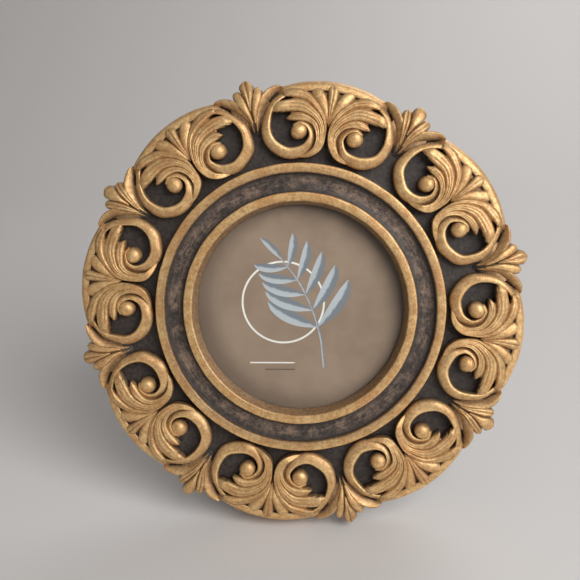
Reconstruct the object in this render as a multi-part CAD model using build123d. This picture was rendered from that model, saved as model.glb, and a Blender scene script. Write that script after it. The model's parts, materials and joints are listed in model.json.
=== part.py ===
from build123d import *
import os
from math import atan2, cos, radians, sin, sqrt

# Round photo frame with an acanthus relief, on an easel leg. Millimetres, +Z up, front towards -Y.
# Everything is drawn in the frame's own axes first: X to the right, Y up the face, Z out of the face,
# with Z = 0 on the flat back and the leg shut. The last part opens the leg and stands the frame on it.

# Print, pane and the rabbet that holds them
PRINT_D = 63.5
PRINT_ROOM = 0.85
RABBET_FIT = 0.35
LIP_W = 2.5
LIP_T = 0.7
PANE_T = 2.0
PRINT_T = 0.4
FILLER_T = 2.4
FILLER_SIDES = 8
BOARD_T = 3.2

# Ring mouldings: the splay and the bead round the sight edge, and the radii of the outer bead
SPLAY_W = 1.1
SIGHT_BEAD_W = 2.5
OUTER_BEAD = (39.2, 41.9)
BEAD_EDGE = 0.6
SIGHT_BEAD_TOP = 12.2
OUTER_BEAD_TOP = 12.0
COVE_FLOOR = 10.2

# Scalloped plate under the relief
BULGES = 8
BULGE_R = 65.3
BULGE_ARC_R = 34.0
FIELD_TOP = 8.2
RIM_CUT = 1.8
ROOT = 1.0

# C-scroll to the right of a fan, seen with the fan at the top: x, y of the tube's middle, and its width
SCROLL = (
    (5.0, 50.8, 1.2),
    (4.5, 47.0, 2.2),
    (8.0, 43.9, 3.3),
    (13.0, 44.0, 3.4),
    (16.6, 47.4, 3.0),
    (17.2, 52.4, 2.2),
    (15.6, 57.2, 1.4),
    (12.6, 60.3, 1.2),
)
SCROLL_SEGMENTS = 9
SCROLL_TOP = 12.0
SCROLL_EDGE = 0.8
EYE_X = 8.0
EYE_Y = 50.1
EYE_R = 2.5
EYE_TOP = 12.3
EYE_DRAFT = 11
EYE_SIDES = 8

# Acanthus leaf over the scroll: x, y of its outer edge, then of its inner edge
LEAF = (
    (2.5, 44.3, 3.5, 45.4),
    (0.9, 47.6, 2.5, 47.8),
    (0.7, 51.4, 3.2, 51.2),
    (1.9, 55.3, 4.8, 53.0),
    (4.6, 58.7, 7.4, 53.8),
    (8.8, 60.7, 11.0, 53.6),
    (14.6, 59.4, 16.2, 53.9),
)
LEAF_SEGMENTS = 6
LEAF_TOP = 12.5
LEAF_FOLD_Y = 54.0

# Half outlines from the tip to the root, and the groove on that half from root to tip: the fan
# between two leaves, and the two finials that take turns between the scroll pairs
FAN = (
    (0, 63.7), (1.3, 63.2), (2.4, 61.7), (3.6, 62.7), (5.2, 62.4),
    (6.6, 61.0), (4.6, 59.4), (1.7, 55.8), (0.5, 50.0),
)
FAN_GROOVE = (0.6, 53.5, 2.5, 62.4)
SPRAY = (
    (0, 66.2), (1.5, 65.5), (2.3, 63.2), (3.5, 64.2), (4.8, 63.4),
    (5.0, 61.3), (6.6, 62.8), (8.6, 62.4), (4.4, 57.6), (1.6, 53.4),
)
SPRAY_GROOVE = (0.6, 55.0, 2.4, 64.0)
SPLIT = (
    (0, 66.0), (0.9, 67.0), (1.9, 66.2), (2.5, 63.2), (3.6, 64.6), (4.9, 63.7),
    (5.0, 61.3), (6.6, 62.8), (8.6, 62.4), (4.4, 57.6), (1.6, 53.4),
)
SPLIT_GROOVE = (0.0, 54.0, 0.0, 66.6)
FAN_TOP = 11.8
FAN_FOLD_Y = 57.0
FINIAL_TOP = 11.6
FINIAL_FOLD_Y = 58.0
FINIAL_BACK = 2.0
DROOP = 0.28
GROOVE_W = 0.9
GROOVE_DEPTH = 1.0

# Turn buttons
BUTTON_INSET = 4.6
BUTTON_DIRS = (45, 135, 225, 315)
BUTTON_W = 6.0
BUTTON_T = 0.8
BUTTON_CORNER = 1.6
BUTTON_REACH = 9.6
BUTTON_LIFT = 0.1
SCREW_R = 1.1
SCREW_FIT = 0.06
SCREW_DEPTH = 6.0
SCREW_HEAD_R = 2.3
SCREW_HEAD_T = 1.5

# Easel hinge
HINGE_UP = 20.0
HINGE_W = 16.0
KNUCKLE_GAP = 0.3
SIDE_GAP = 0.2
PIN_R = 0.75
PIN_FIT = 0.05
PIN_PROUD = 0.4
LEAF_T = 0.6
LEAF_CORNER = 2.0
CURL_L = 2.0
FIXED_LEAF_L = 11.0
MOVING_KNUCKLE_W = 8.0
MOVING_LEAF_W = 12.0
MOVING_LEAF_L = 11.0
STOP_W = 6.0
STOP_GAP = 0.05
RIVET_R = 1.2
RIVET_FIT = 0.05
RIVET_HEAD_R = 2.4
RIVET_HEAD_T = 0.8
RIVET_ALONG = 7.0

# Easel leg
LEG_TOP_W = 16.0
LEG_FOOT_W = 28.0
LEG_TOP_CUT = 3.0
LEG_FOOT_SPARE = 4.0

# Pose on the table: the lean of the face, the leg's opening, and the fan's turn from the top at which
# a split finial and the bulge beside it both touch down
LEAN = 15.0
OPEN = 30.0
FAN_DIR = 9.3

RABBET_R = PRINT_D / 2 + PRINT_ROOM
SIGHT_R = RABBET_R - LIP_W
SIGHT_BEAD = (SIGHT_R + SPLAY_W, SIGHT_R + SPLAY_W + SIGHT_BEAD_W)
BUTTON_R = RABBET_R + BUTTON_INSET
STEP = 360 / BULGES
BULGE_CENTRE = BULGE_R - BULGE_ARC_R
RELIEF_ROOT = FIELD_TOP - ROOT
PRINT_BACK = BOARD_T + FILLER_T
PANE_BACK = PRINT_BACK + PRINT_T
SEAT = PANE_BACK + PANE_T
KNUCKLE_R = PIN_R + PIN_FIT + LEAF_T
HINGE_Z = -(KNUCKLE_R + KNUCKLE_GAP)
# With the leg shut, its leaf lies on its back, level with the back of the knuckle
MOVING_LEAF_BACK = HINGE_Z - KNUCKLE_R
LEG_BACK = MOVING_LEAF_BACK + LEAF_T
LEG_FRONT = -KNUCKLE_GAP
LEG_TOP = HINGE_UP - KNUCKLE_R - KNUCKLE_GAP
# Height of the frame's centre when its lowest bulge touches the table
LIFT = (BULGE_CENTRE * cos(radians(FAN_DIR)) + BULGE_ARC_R) * cos(radians(LEAN))


def at(radius, clockwise):
    """A point on the face, at an angle clockwise from the top."""
    return (radius * sin(radians(clockwise)), radius * cos(radians(clockwise)))


def flat(*points):
    return make_face(Polyline(*points, close=True))


def prism(face, low, high):
    return Pos(0, 0, low) * extrude(face, high - low, dir=(0, 0, 1))


def disc(radius, low, high):
    return prism(Circle(radius), low, high)


def slab(x0, x1, y0, y1, z0, z1):
    return Pos((x0 + x1) / 2, (y0 + y1) / 2, (z0 + z1) / 2) * Box(x1 - x0, y1 - y0, z1 - z0)


def between(stations, t):
    """A smooth curve through the stations (Catmull-Rom), t counted in stations from the first."""
    last = len(stations) - 1
    i = min(int(t), last - 1)
    f = t - i
    near = [stations[min(max(k, 0), last)] for k in range(i - 1, i + 3)]
    weights = (
        f * (f * (2 - f) - 1) / 2,
        (f * f * (3 * f - 5) + 2) / 2,
        f * (f * (4 - 3 * f) + 1) / 2,
        f * f * (f - 1) / 2,
    )
    return [sum(w * station[k] for w, station in zip(weights, near)) for k in range(len(stations[0]))]


def along(stations, segments):
    last = len(stations) - 1
    return [between(stations, last * i / segments) for i in range(segments + 1)]


def groove(x0, y0, x1, y1, top, fold):
    """A V cut between two plan points, following a carved top down its droop."""
    half = GROOVE_W / 2
    wedge = []
    for x, y in ((x0, y0), (x1, y1)):
        z = top - DROOP * max(y - fold, 0)
        wedge.append(flat((x - half, y, z), (x + half, y, z), (x, y, z - GROOVE_DEPTH)))
    return loft(wedge, ruled=True)


def droop(solid, fold, top):
    """Lets the top fall away towards the rim, from a fold across the face."""
    return split(solid, Plane((0, fold, top), z_dir=(0, DROOP, 1)), keep=Keep.BOTTOM)


def carved(half_outline, half_groove, low, high, fold):
    """A symmetric spray cut from its outline, drooping outwards, its lobes parted by V grooves."""
    other = [(-x, y) for x, y in half_outline if x > 0]
    spray = droop(prism(flat(*other, *half_outline[::-1]), low, high), fold, high)
    x0, y0, x1, y1 = half_groove
    for side in (1, -1):
        spray -= groove(side * x0, y0, side * x1, y1, high, fold)
    return spray


def scroll():
    """One C-scroll: a band of changing width along its path, its outer edge eased, drooping with the leaf."""
    path = along(SCROLL, SCROLL_SEGMENTS)
    left = []
    right = []
    for i, (x, y, width) in enumerate(path):
        before = path[max(i - 1, 0)]
        after = path[min(i + 1, SCROLL_SEGMENTS)]
        heading = atan2(after[1] - before[1], after[0] - before[0])
        dx = -sin(heading) * width / 2
        dy = cos(heading) * width / 2
        left.append((x + dx, y + dy))
        right.append((x - dx, y - dy))
    band = prism(flat(*right, *left[::-1]), RELIEF_ROOT, SCROLL_TOP)
    outer = [Edge.make_line((*a, SCROLL_TOP), (*b, SCROLL_TOP)).center() for a, b in zip(right, right[1:])]
    upper = band.faces().sort_by(Axis.Z)[-1].edges()
    eased = chamfer([upper.sort_by_distance(middle)[0] for middle in outer], SCROLL_EDGE)
    return droop(eased, LEAF_FOLD_Y, SCROLL_TOP)


def eye():
    """The button in the scroll's curl, drawn in towards its top."""
    button = extrude(RegularPolygon(EYE_R, EYE_SIDES), EYE_TOP - RELIEF_ROOT, taper=EYE_DRAFT)
    return Pos(EYE_X, EYE_Y, RELIEF_ROOT) * button


def leaf():
    """The leaf that sweeps over the scroll: level beside the curl, drooping towards the rim."""
    stations = along(LEAF, LEAF_SEGMENTS)
    outer = [(x, y) for x, y, _, _ in stations]
    inner = [(x, y) for _, _, x, y in stations]
    return droop(prism(flat(*inner, *outer[::-1]), RELIEF_ROOT, LEAF_TOP), LEAF_FOLD_Y, LEAF_TOP)


def scroll_pair():
    """Two mirrored scrolls with their leaves and the fan between them, for a fan at the top."""
    half = [scroll(), eye(), leaf()]
    other = [mirror(piece, about=Plane.YZ) for piece in half]
    return half + other + [carved(FAN, FAN_GROOVE, RELIEF_ROOT, FAN_TOP, FAN_FOLD_Y)]


def plate():
    """Eight bulges of one radius, meeting in valleys under the finials."""
    half = radians(STEP / 2)
    valley = BULGE_CENTRE * cos(half) + sqrt(BULGE_ARC_R**2 - (BULGE_CENTRE * sin(half)) ** 2)
    arcs = []
    for i in range(BULGES):
        a = FAN_DIR + i * STEP
        arcs.append(ThreePointArc(at(valley, a - STEP / 2), at(BULGE_R, a), at(valley, a + STEP / 2)))
    blank = prism(make_face(arcs), 0, FIELD_TOP)
    return chamfer(blank.faces().sort_by(Axis.Z)[-1].edges(), RIM_CUT)


def rings():
    """Sight edge, sight bead, cove and outer bead in one turned profile."""
    s_in, s_out = SIGHT_BEAD
    o_in, o_out = OUTER_BEAD
    profile = (
        (SIGHT_R, RELIEF_ROOT),
        (o_out, RELIEF_ROOT),
        (o_out, OUTER_BEAD_TOP - BEAD_EDGE),
        (o_out - BEAD_EDGE, OUTER_BEAD_TOP),
        (o_in, OUTER_BEAD_TOP),
        (o_in, COVE_FLOOR),
        (s_out, COVE_FLOOR),
        (s_out, SIGHT_BEAD_TOP),
        (s_in, SIGHT_BEAD_TOP),
        (SIGHT_R, SEAT + LIP_T),
    )
    return revolve(flat(*[(r, 0, z) for r, z in profile]), Axis.Z)


def frame_casting():
    """The one-piece casting: plate, rings and relief, with the rabbet and the screw holes at the back."""
    body = plate() - disc(SIGHT_R, -1, FIELD_TOP + 1)
    body += rings()
    body -= disc(RABBET_R, -1, SEAT)
    pair = scroll_pair()
    finials = (
        carved(SPRAY, SPRAY_GROOVE, FINIAL_BACK, FINIAL_TOP, FINIAL_FOLD_Y),
        carved(SPLIT, SPLIT_GROOVE, FINIAL_BACK, FINIAL_TOP, FINIAL_FOLD_Y),
    )
    relief = []
    for i in range(BULGES):
        relief += [Rot(0, 0, -FAN_DIR - i * STEP) * piece for piece in pair]
        relief.append(Rot(0, 0, -FAN_DIR - (i + 0.5) * STEP) * finials[i % 2])
    body = body.fuse(*relief)
    for angle in BUTTON_DIRS:
        x, y = at(BUTTON_R, angle)
        body -= Pos(x, y, 0) * disc(SCREW_R + SCREW_FIT, -1, SCREW_DEPTH)
    return body


def back_board():
    """The board in the rabbet, flush with the frame's back and bored for the hinge rivet."""
    return disc(RABBET_R - RABBET_FIT, 0, BOARD_T) - rivet_hole(HINGE_UP + RIVET_ALONG)


def turn_button(angle):
    """A stamped clip on its screw, laid towards the frame's centre."""
    half = BUTTON_W / 2
    blank = Pos(0, (half - BUTTON_REACH) / 2) * Rectangle(BUTTON_W, half + BUTTON_REACH)
    blank = chamfer(blank.vertices(), BUTTON_CORNER)
    clip = prism(blank - Circle(SCREW_R + SCREW_FIT), -BUTTON_LIFT - BUTTON_T, -BUTTON_LIFT)
    x, y = at(BUTTON_R, angle)
    return Pos(x, y, 0) * Rot(0, 0, -angle) * clip


def screw(angle):
    """A pan-head screw through a clip, its head clear of the clip by the same lift."""
    seat = -BUTTON_LIFT - BUTTON_T - BUTTON_LIFT
    head = disc(SCREW_HEAD_R, seat - SCREW_HEAD_T, seat)
    x, y = at(BUTTON_R, angle)
    return Pos(x, y, 0) * (head + disc(SCREW_R, seat, SCREW_DEPTH))


def rivet_hole(y):
    return Pos(0, y, 0) * disc(RIVET_R + RIVET_FIT, 2 * MOVING_LEAF_BACK, 2 * BOARD_T)


def barrel(radius, x0, x1):
    """A drum on the hinge line."""
    return Pos((x0 + x1) / 2, HINGE_UP, HINGE_Z) * Rot(0, 90, 0) * Cylinder(radius, x1 - x0)


def hinge_leaf_fixed():
    """Leaf on the board, with a curled knuckle at each end of the hinge line."""
    half = HINGE_W / 2
    start = HINGE_UP + CURL_L
    end = HINGE_UP + FIXED_LEAF_L
    leaf_plate = slab(-half, half, start, end, -LEAF_T, 0)
    corners = leaf_plate.edges().filter_by(Axis.Z).group_by(Axis.Y)[-1]
    leaf_plate = chamfer(corners, LEAF_CORNER)
    curl = flat(
        (0, HINGE_UP, -KNUCKLE_GAP),
        (0, start, 0),
        (0, start, -LEAF_T),
        (0, HINGE_UP, -KNUCKLE_GAP - LEAF_T),
    )
    inner = MOVING_KNUCKLE_W / 2 + SIDE_GAP
    for x0, x1 in ((-half, -inner), (inner, half)):
        leaf_plate += barrel(KNUCKLE_R, x0, x1)
        leaf_plate += Pos(x0, 0, 0) * extrude(curl, x1 - x0, dir=(1, 0, 0))
    leaf_plate -= barrel(PIN_R + PIN_FIT, -HINGE_W, HINGE_W)
    return leaf_plate - rivet_hole(HINGE_UP + RIVET_ALONG)


def hinge_leaf_moving():
    """Leaf on the leg, with the middle knuckle and the tongue that stops on the fixed leaf."""
    opening = radians(OPEN)
    wall = KNUCKLE_R - LEAF_T
    stop = (-LEAF_T - STOP_GAP - HINGE_Z + wall * cos(opening)) / sin(opening)
    half = MOVING_LEAF_W / 2
    leaf_plate = slab(-half, half, HINGE_UP - MOVING_LEAF_L, HINGE_UP - CURL_L, MOVING_LEAF_BACK, LEG_BACK)
    leaf_plate = chamfer(leaf_plate.edges().filter_by(Axis.Z).group_by(Axis.Y)[0], LEAF_CORNER)
    half = MOVING_KNUCKLE_W / 2
    leaf_plate += slab(-half, half, HINGE_UP - CURL_L, HINGE_UP, MOVING_LEAF_BACK, LEG_BACK)
    leaf_plate += barrel(KNUCKLE_R, -half, half)
    half = STOP_W / 2
    leaf_plate += slab(-half, half, HINGE_UP, HINGE_UP + stop, MOVING_LEAF_BACK, LEG_BACK)
    leaf_plate -= barrel(PIN_R + PIN_FIT, -HINGE_W, HINGE_W)
    return leaf_plate - rivet_hole(HINGE_UP - RIVET_ALONG)


def rivet(y, head_seat, tail):
    """A rivet with its head behind the leaf and its shank through to the other face."""
    head = disc(RIVET_HEAD_R, head_seat - RIVET_HEAD_T, head_seat)
    return Pos(0, y, 0) * (head + disc(RIVET_R, head_seat, tail))


def easel_leg():
    """The leg, wider at the foot and left long there for the cut along the table."""
    foot = -LIFT / cos(radians(LEAN)) - LEG_FOOT_SPARE
    top = LEG_TOP_W / 2
    outline = (
        (-LEG_FOOT_W / 2, foot),
        (LEG_FOOT_W / 2, foot),
        (top, LEG_TOP - LEG_TOP_CUT),
        (top - LEG_TOP_CUT, LEG_TOP),
        (LEG_TOP_CUT - top, LEG_TOP),
        (-top, LEG_TOP - LEG_TOP_CUT),
    )
    return prism(flat(*outline), LEG_BACK, LEG_FRONT) - rivet_hole(HINGE_UP - RIVET_ALONG)


hinge_line = Pos(0, HINGE_UP, HINGE_Z)
opened = hinge_line * Rot(OPEN, 0, 0) * hinge_line.inverse()
stand = Pos(0, 0, LIFT) * Rot(90 - LEAN, 0, 0)
reach = 2 * BULGE_R
below_table = slab(-reach, reach, -reach, reach, -reach, 0)

still = {
    "frame_casting": frame_casting(),
    "glass_pane": disc(RABBET_R - RABBET_FIT, PANE_BACK, SEAT),
    "photo_card": disc(PRINT_D / 2, PRINT_BACK, PANE_BACK),
    "filler_pad": prism(RegularPolygon(PRINT_D / 2, FILLER_SIDES), BOARD_T, PRINT_BACK),
    "back_board": back_board(),
    "hinge_leaf_fixed": hinge_leaf_fixed(),
    "hinge_pin": barrel(PIN_R, -HINGE_W / 2 - PIN_PROUD, HINGE_W / 2 + PIN_PROUD),
    "hinge_rivet_board": rivet(HINGE_UP + RIVET_ALONG, -LEAF_T, BOARD_T),
    "turn_button_screws": Compound([screw(angle) for angle in BUTTON_DIRS]),
}
for i, angle in enumerate(BUTTON_DIRS):
    still[f"turn_button_{i + 1}"] = turn_button(angle)
swung = {
    "hinge_leaf_moving": hinge_leaf_moving(),
    "hinge_rivet_leg": rivet(HINGE_UP - RIVET_ALONG, MOVING_LEAF_BACK, LEG_FRONT),
}
parts = {name: stand * shape for name, shape in still.items()}
parts.update({name: stand * opened * shape for name, shape in swung.items()})
parts["easel_leg"] = stand * opened * easel_leg() - below_table

# Origin under the middle of the whole, on the table
box = Compound(list(parts.values())).bounding_box()
home = Pos(-box.center().X, -box.center().Y, -box.min.Z)
os.makedirs("parts", exist_ok=True)
for name, shape in parts.items():
    export_step(home * shape, f"parts/{name}.step")
print("hinge line", (home * stand * hinge_line).position)
for angle in BUTTON_DIRS:
    print("turn button", (home * stand * Pos(*at(BUTTON_R, angle), 0)).position)
print("size", box.size)
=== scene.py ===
import json
from math import cos, pi, radians, sin

import bmesh
import bpy
import numpy as np
from mathutils import Matrix, Vector

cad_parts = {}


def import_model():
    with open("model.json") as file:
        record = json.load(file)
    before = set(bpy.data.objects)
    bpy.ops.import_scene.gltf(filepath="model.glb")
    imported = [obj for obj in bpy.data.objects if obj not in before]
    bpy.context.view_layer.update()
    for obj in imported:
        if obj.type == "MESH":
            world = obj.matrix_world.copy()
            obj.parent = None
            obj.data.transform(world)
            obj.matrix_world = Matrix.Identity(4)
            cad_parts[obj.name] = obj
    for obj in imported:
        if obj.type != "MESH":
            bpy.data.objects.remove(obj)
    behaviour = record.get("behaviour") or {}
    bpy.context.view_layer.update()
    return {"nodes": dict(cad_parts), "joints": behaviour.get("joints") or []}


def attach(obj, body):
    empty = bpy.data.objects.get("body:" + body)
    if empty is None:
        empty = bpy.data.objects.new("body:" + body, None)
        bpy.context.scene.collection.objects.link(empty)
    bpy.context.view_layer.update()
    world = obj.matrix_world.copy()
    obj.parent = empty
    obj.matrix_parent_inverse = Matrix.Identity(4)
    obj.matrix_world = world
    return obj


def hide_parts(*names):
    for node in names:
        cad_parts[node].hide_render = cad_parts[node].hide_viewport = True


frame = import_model()

# The face's own axes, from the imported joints: X to the right, Y up the face, Z out of it, in millimetres,
# with Z = 0 on the flat back. A turn button's pivot points out of the face.
MM = 0.001
pivots = [joint for joint in frame["joints"] if joint["name"].startswith("turn_button")]
CENTRE = np.mean([joint["pos_m"] for joint in pivots], axis=0)
OUT = np.array(pivots[0]["axis"])
RIGHT = np.array((1.0, 0.0, 0.0))
UP = np.cross(OUT, RIGHT)

# The scalloped plate: eight bulges with a fan on each, the first fan's direction clockwise from the top
BULGES = 8
STEP = 360 / BULGES
FAN_DIR = 9.3
BULGE_R = 65.3
BULGE_ARC_R = 34.0
FIELD = 8.2

# Window and ring mouldings: radii, and heights over the flat back
RABBET_R = 32.6
SIGHT_R = 30.1
SEAT = 8.0
LIP_T = 0.7
SIGHT_BEAD = (31.2, 33.7)
SIGHT_BEAD_TOP = 12.2
OUTER_BEAD = (39.2, 41.9)
OUTER_BEAD_TOP = 12.0
COVE_R = 36.4
COVE_FLOOR = 10.2
CARD_FRONT = 6.0
PANE_R = 32.25
PANE_GAP = 0.08

# The casting's section: radius, height and how far each corner is eased, from the rabbet over the rings
# and the raised rim to the flat back
CASTING_SECTION = (
    (RABBET_R, 0, 0.2),
    (RABBET_R, SEAT, 0.1),
    (SIGHT_R, SEAT, 0.15),
    (SIGHT_R, SEAT + LIP_T, 0.25),
    (SIGHT_BEAD[0], SIGHT_BEAD_TOP, 0.45),
    (SIGHT_BEAD[1], SIGHT_BEAD_TOP, 0.45),
    (SIGHT_BEAD[1] + 0.1, COVE_FLOOR + 0.3, 0.3),
    (COVE_R, COVE_FLOOR - 0.1, 1.0),
    (OUTER_BEAD[0] - 0.1, COVE_FLOOR + 0.2, 0.3),
    (OUTER_BEAD[0], OUTER_BEAD_TOP, 0.45),
    (OUTER_BEAD[1], OUTER_BEAD_TOP, 0.5),
    (OUTER_BEAD[1] + 0.1, FIELD, 0.4),
    (52, FIELD, 1.0),
    (BULGE_R - 3.7, FIELD, 0.5),
    (BULGE_R - 3.2, FIELD + 2.4, 0.6),
    (BULGE_R - 1.1, FIELD + 2.2, 0.8),
    (BULGE_R, FIELD - 1.0, 1.2),
    (BULGE_R - 0.2, 0, 0.8),
    (50, 0, 1.0),
)
# Radii over which the section comes to follow the scalloped edge
FOLLOW = (50, 58)
# Degrees off a fan's middle over which the raised rim sinks away
RIM_SUNK = (12.5, 15.5)
# Radii past which the relief overhangs the rim and its sides are gilded too
OVERHANG = (61.5, 63.0)

# Where the relief and the finials are rooted, below the tops they stand on
RELIEF_ROOT = 7.4
FINIAL_ROOT = 2.0
# How far the small waves move the relief and the plate
RELIEF_WAVE = 0.14
PLATE_WAVE = 0.04
# How much the flow of strokes is drawn out along them, and the radius that stands for the rings there
STROKE = 0.12
STROKE_RING_R = 40

# C-scroll to the right of a fan, seen with the fan at the top: x, y, half width and top along its band,
# from inside its eye to the rim; then the eye's x, y, radius and top
SCROLL = (
    (9.9, 51.5, 0.35, 11.6),
    (8.0, 52.55, 0.50, 12.0),
    (5.5, 51.6, 0.60, 12.0),
    (4.2, 48.8, 0.80, 12.0),
    (5.7, 45.2, 1.45, 12.0),
    (10.2, 43.6, 1.70, 12.0),
    (15.0, 45.4, 1.60, 12.0),
    (17.3, 49.6, 1.30, 12.0),
    (16.9, 54.6, 0.95, 11.8),
    (14.6, 58.6, 0.75, 11.3),
    (11.0, 61.3, 0.65, 10.6),
)
EYE = (7.9, 50.05, 2.4, 12.4)
EYE_CROWN = 1.9

# The acanthus leaf over the scroll: its inner edge, middle and outer edge from the stalk to the tips
LEAF_INNER = (
    (8.0, 43.1), (5.6, 44.1), (4.0, 45.3), (3.1, 47.0), (2.9, 48.9),
    (3.6, 50.9), (4.9, 52.3), (7.0, 52.9), (9.4, 52.7), (12.4, 51.4),
)
LEAF_MIDDLE = (
    (7.9, 42.9), (5.2, 43.5), (3.0, 44.9), (1.8, 46.8), (1.5, 49.3),
    (2.1, 52.3), (4.2, 55.0), (7.9, 56.6), (12.4, 56.2), (17.2, 54.3),
)
LEAF_OUTER = (
    (7.8, 42.7), (4.8, 43.1), (2.5, 44.3), (0.9, 46.3), (0.3, 49.3),
    (0.5, 53.0), (2.2, 57.0), (5.3, 60.3), (9.4, 61.9), (13.6, 61.3),
)
# How far the leaf's lines run, at shares of the way across from its inner edge: three lobes, two notches
LEAF_ENDS = (
    (0.00, 0.88), (0.04, 0.905), (0.08, 0.925), (0.11, 0.93), (0.14, 0.92), (0.18, 0.90), (0.22, 0.88),
    (0.26, 0.865), (0.29, 0.855), (0.315, 0.85), (0.335, 0.89), (0.355, 0.925), (0.375, 0.92),
    (0.40, 0.965), (0.42, 0.96), (0.45, 0.99), (0.48, 1.0), (0.64, 1.0), (0.68, 0.98), (0.705, 0.93),
    (0.735, 0.885), (0.765, 0.88), (0.79, 0.91), (0.82, 0.955), (0.87, 0.965), (0.91, 0.985), (1.00, 0.985),
)
LEAF_NOTCHES = (0.31, 0.75)
# Valleys of the leaf's flutes, at shares of the way across
LEAF_VALLEYS = (0.0, 0.16, 0.31, 0.46, 0.61, 0.75, 0.88, 1.0)
LEAF_TOP = 12.4

# The low ground under leaf and fan: a guide under the band, one along the fan and rim, and their tops
BED_INNER = ((8.0, 43.4), (5.7, 45.2), (4.2, 48.8), (5.4, 51.4), (8.6, 52.6), (11.0, 54.8))
BED_OUTER = ((6.0, 43.6), (2.6, 44.8), (0.9, 47.6), (0.0, 51.5), (0.0, 62.5), (11.5, 61.6))
BED_TOPS = (11.4, 9.3)

# The fan's petals: x, y, half width and top along each, with the fan at the top
FAN_BLADE = ((0, 52.5, 0.3, 11.0), (0, 56.4, 0.75, 11.9), (0, 60.2, 1.4, 11.8), (0, 64.0, 1.8, 10.9))
FAN_SIDE = ((0.4, 53.2, 0.3, 11.0), (1.4, 56.6, 1.0, 11.6), (3.2, 59.6, 1.6, 11.5), (5.7, 62.7, 1.7, 10.6))

# The finial's petals in the same way, and the hollow that they lie in
FINIAL_BULB = (
    (0, 57.8, 0.2, 10.9), (0, 60.4, 0.75, 11.6), (0, 62.8, 1.6, 11.3),
    (0, 64.7, 1.95, 10.6), (0, 66.4, 1.8, 9.8),
)
FINIAL_SIDE = (
    (0.45, 54.4, 0.3, 10.4), (1.15, 57.8, 0.85, 11.3), (2.3, 60.9, 1.3, 11.1), (3.5, 64.1, 1.2, 9.9),
)
FINIAL_BRACT = (
    (0.8, 52.0, 0.45, 10.0), (1.6, 55.4, 0.95, 10.9), (3.2, 58.6, 1.4, 11.3),
    (5.4, 60.8, 1.55, 11.2), (7.8, 61.9, 1.3, 10.8), (10.0, 62.3, 0.6, 10.3),
)
FINIAL_HOLLOW = (
    (0, 51.0, 0.5, 8.3), (0, 54.2, 2.6, 9.3), (0, 57, 4.9, 9.7), (0, 59.8, 6.6, 9.4), (0, 62.8, 7, 9.0),
)

# Hardware on the back, measured backwards from the frame's flat back
BUTTON_R = 37.2
BUTTON_DIRS = (45, 135, 225, 315)
SCREW_HEAD_R = 2.3
SCREW_SEAT = 1.0
SCREW_TOP = 2.5
SCREW_CROWN = 0.8
SCREW_R = 1.1
SCREW_DEPTH = 6.0
SLOT = 0.7
SLOT_DEPTH = 0.7
SLOT_EASE = 0.08
RIVET_R = 1.2
RIVET_HEAD_R = 2.4
RIVET_HEAD = 0.8
RIVET_CROWN = 0.75
SHANK_LAP = 0.2
BOARD_FACES = (-3.2, 0.6)
LEG_FACES = (0.3, 3.1)
# The leg's hinge on the face's own axes, its rivets' distance from the pin, and the leg's opening in degrees
HINGE_UP = 20.0
HINGE_Z = -1.7
RIVET_ALONG = 7.0
LEG_OPEN = 30.0

# The card's print: the sprig's stem; its last leaflet's x, y and half width; any other leaflet's stations,
# as shares along the stem, out from it and of the half width; the ring's x, y, radius and half line; the
# rules' two ends, y and half line; and the heights between which all of it lies
SPRIG_STEM = ((7.0, -18.0), (6.0, -9.0), (3.4, 0.0), (-0.6, 8.0), (-5.6, 14.6))
SPRIG_TIP = ((-5.2, 14.2, 0.2), (-7.2, 16.6, 0.95), (-9.6, 19.0, 0.9), (-11.6, 20.6, 0.1))
LEAFLET = ((0.0, 0.02, 0.15), (0.22, 0.36, 0.8), (0.46, 0.66, 1.0), (0.72, 0.90, 0.75), (0.92, 1.02, 0.1))
PRINT_RING = (-5.0, 1.5, 12.0, 0.28)
PRINT_RULES = ((-15.0, -1.5, -16.6, 0.2), (-10.5, -1.5, -18.6, 0.14))
INK_ROOT = CARD_FRONT - 0.15
INK_TOP = CARD_FRONT + 0.02

# The studio, in metres: the backdrop's bend, its reach to each side and its wall; then each lamp's place,
# size and power, all aimed at the middle of the frame
SWEEP_Y = 0.35
SWEEP_R = 0.5
SWEEP_STEPS = 25
BACKDROP_REACH = 4.0
WALL_TOP = 2.0
WORLD_STRENGTH = 0.33
LAMP_AIM = (0, 0, 0.06)
LAMPS = (
    ("key", (0.46, -0.58, 0.62), 0.7, 6.3),
    ("fill", (0.47, -0.43, 0.34), 0.4, 0.9),
    ("rear", (0.35, 0.60, 0.60), 0.6, 2.0),
)


def to_row(points):
    """Face millimetres to row metres: the centre plus x, y and z times the face's three axes."""
    return CENTRE + MM * (points[..., 0:1] * RIGHT + points[..., 1:2] * UP + points[..., 2:3] * OUT)


def smooth(edge0, edge1, x):
    """0 below the first edge, 1 above the second, a cubic S between them."""
    t = np.clip((x - edge0) / (edge1 - edge0), 0, 1)
    return t * t * (3 - 2 * t)


def between(v, edges):
    """How far v stands from the nearest of the edges, as a sine arch between each two: 0 on an edge and
    1 midway."""
    return np.abs(np.sin(pi * np.interp(v, edges, np.arange(len(edges)))))


def curve(stations, t):
    """The Catmull-Rom curve through the stations, t running from 0 to 1 over them all."""
    p = np.asarray(stations, float)
    p = np.concatenate([2 * p[:1] - p[1:2], p, 2 * p[-1:] - p[-2:-1]])
    spans = len(p) - 3
    i = np.minimum((np.clip(t, 0, 1) * spans).astype(int), spans - 1)
    f = (np.clip(t, 0, 1) * spans - i)[..., None]
    a, b, c, d = p[i], p[i + 1], p[i + 2], p[i + 3]
    return b + f * (c - a + f * (2 * a - 5 * b + 4 * c - d + f * (3 * b - a - 3 * c + d))) / 2


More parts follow.
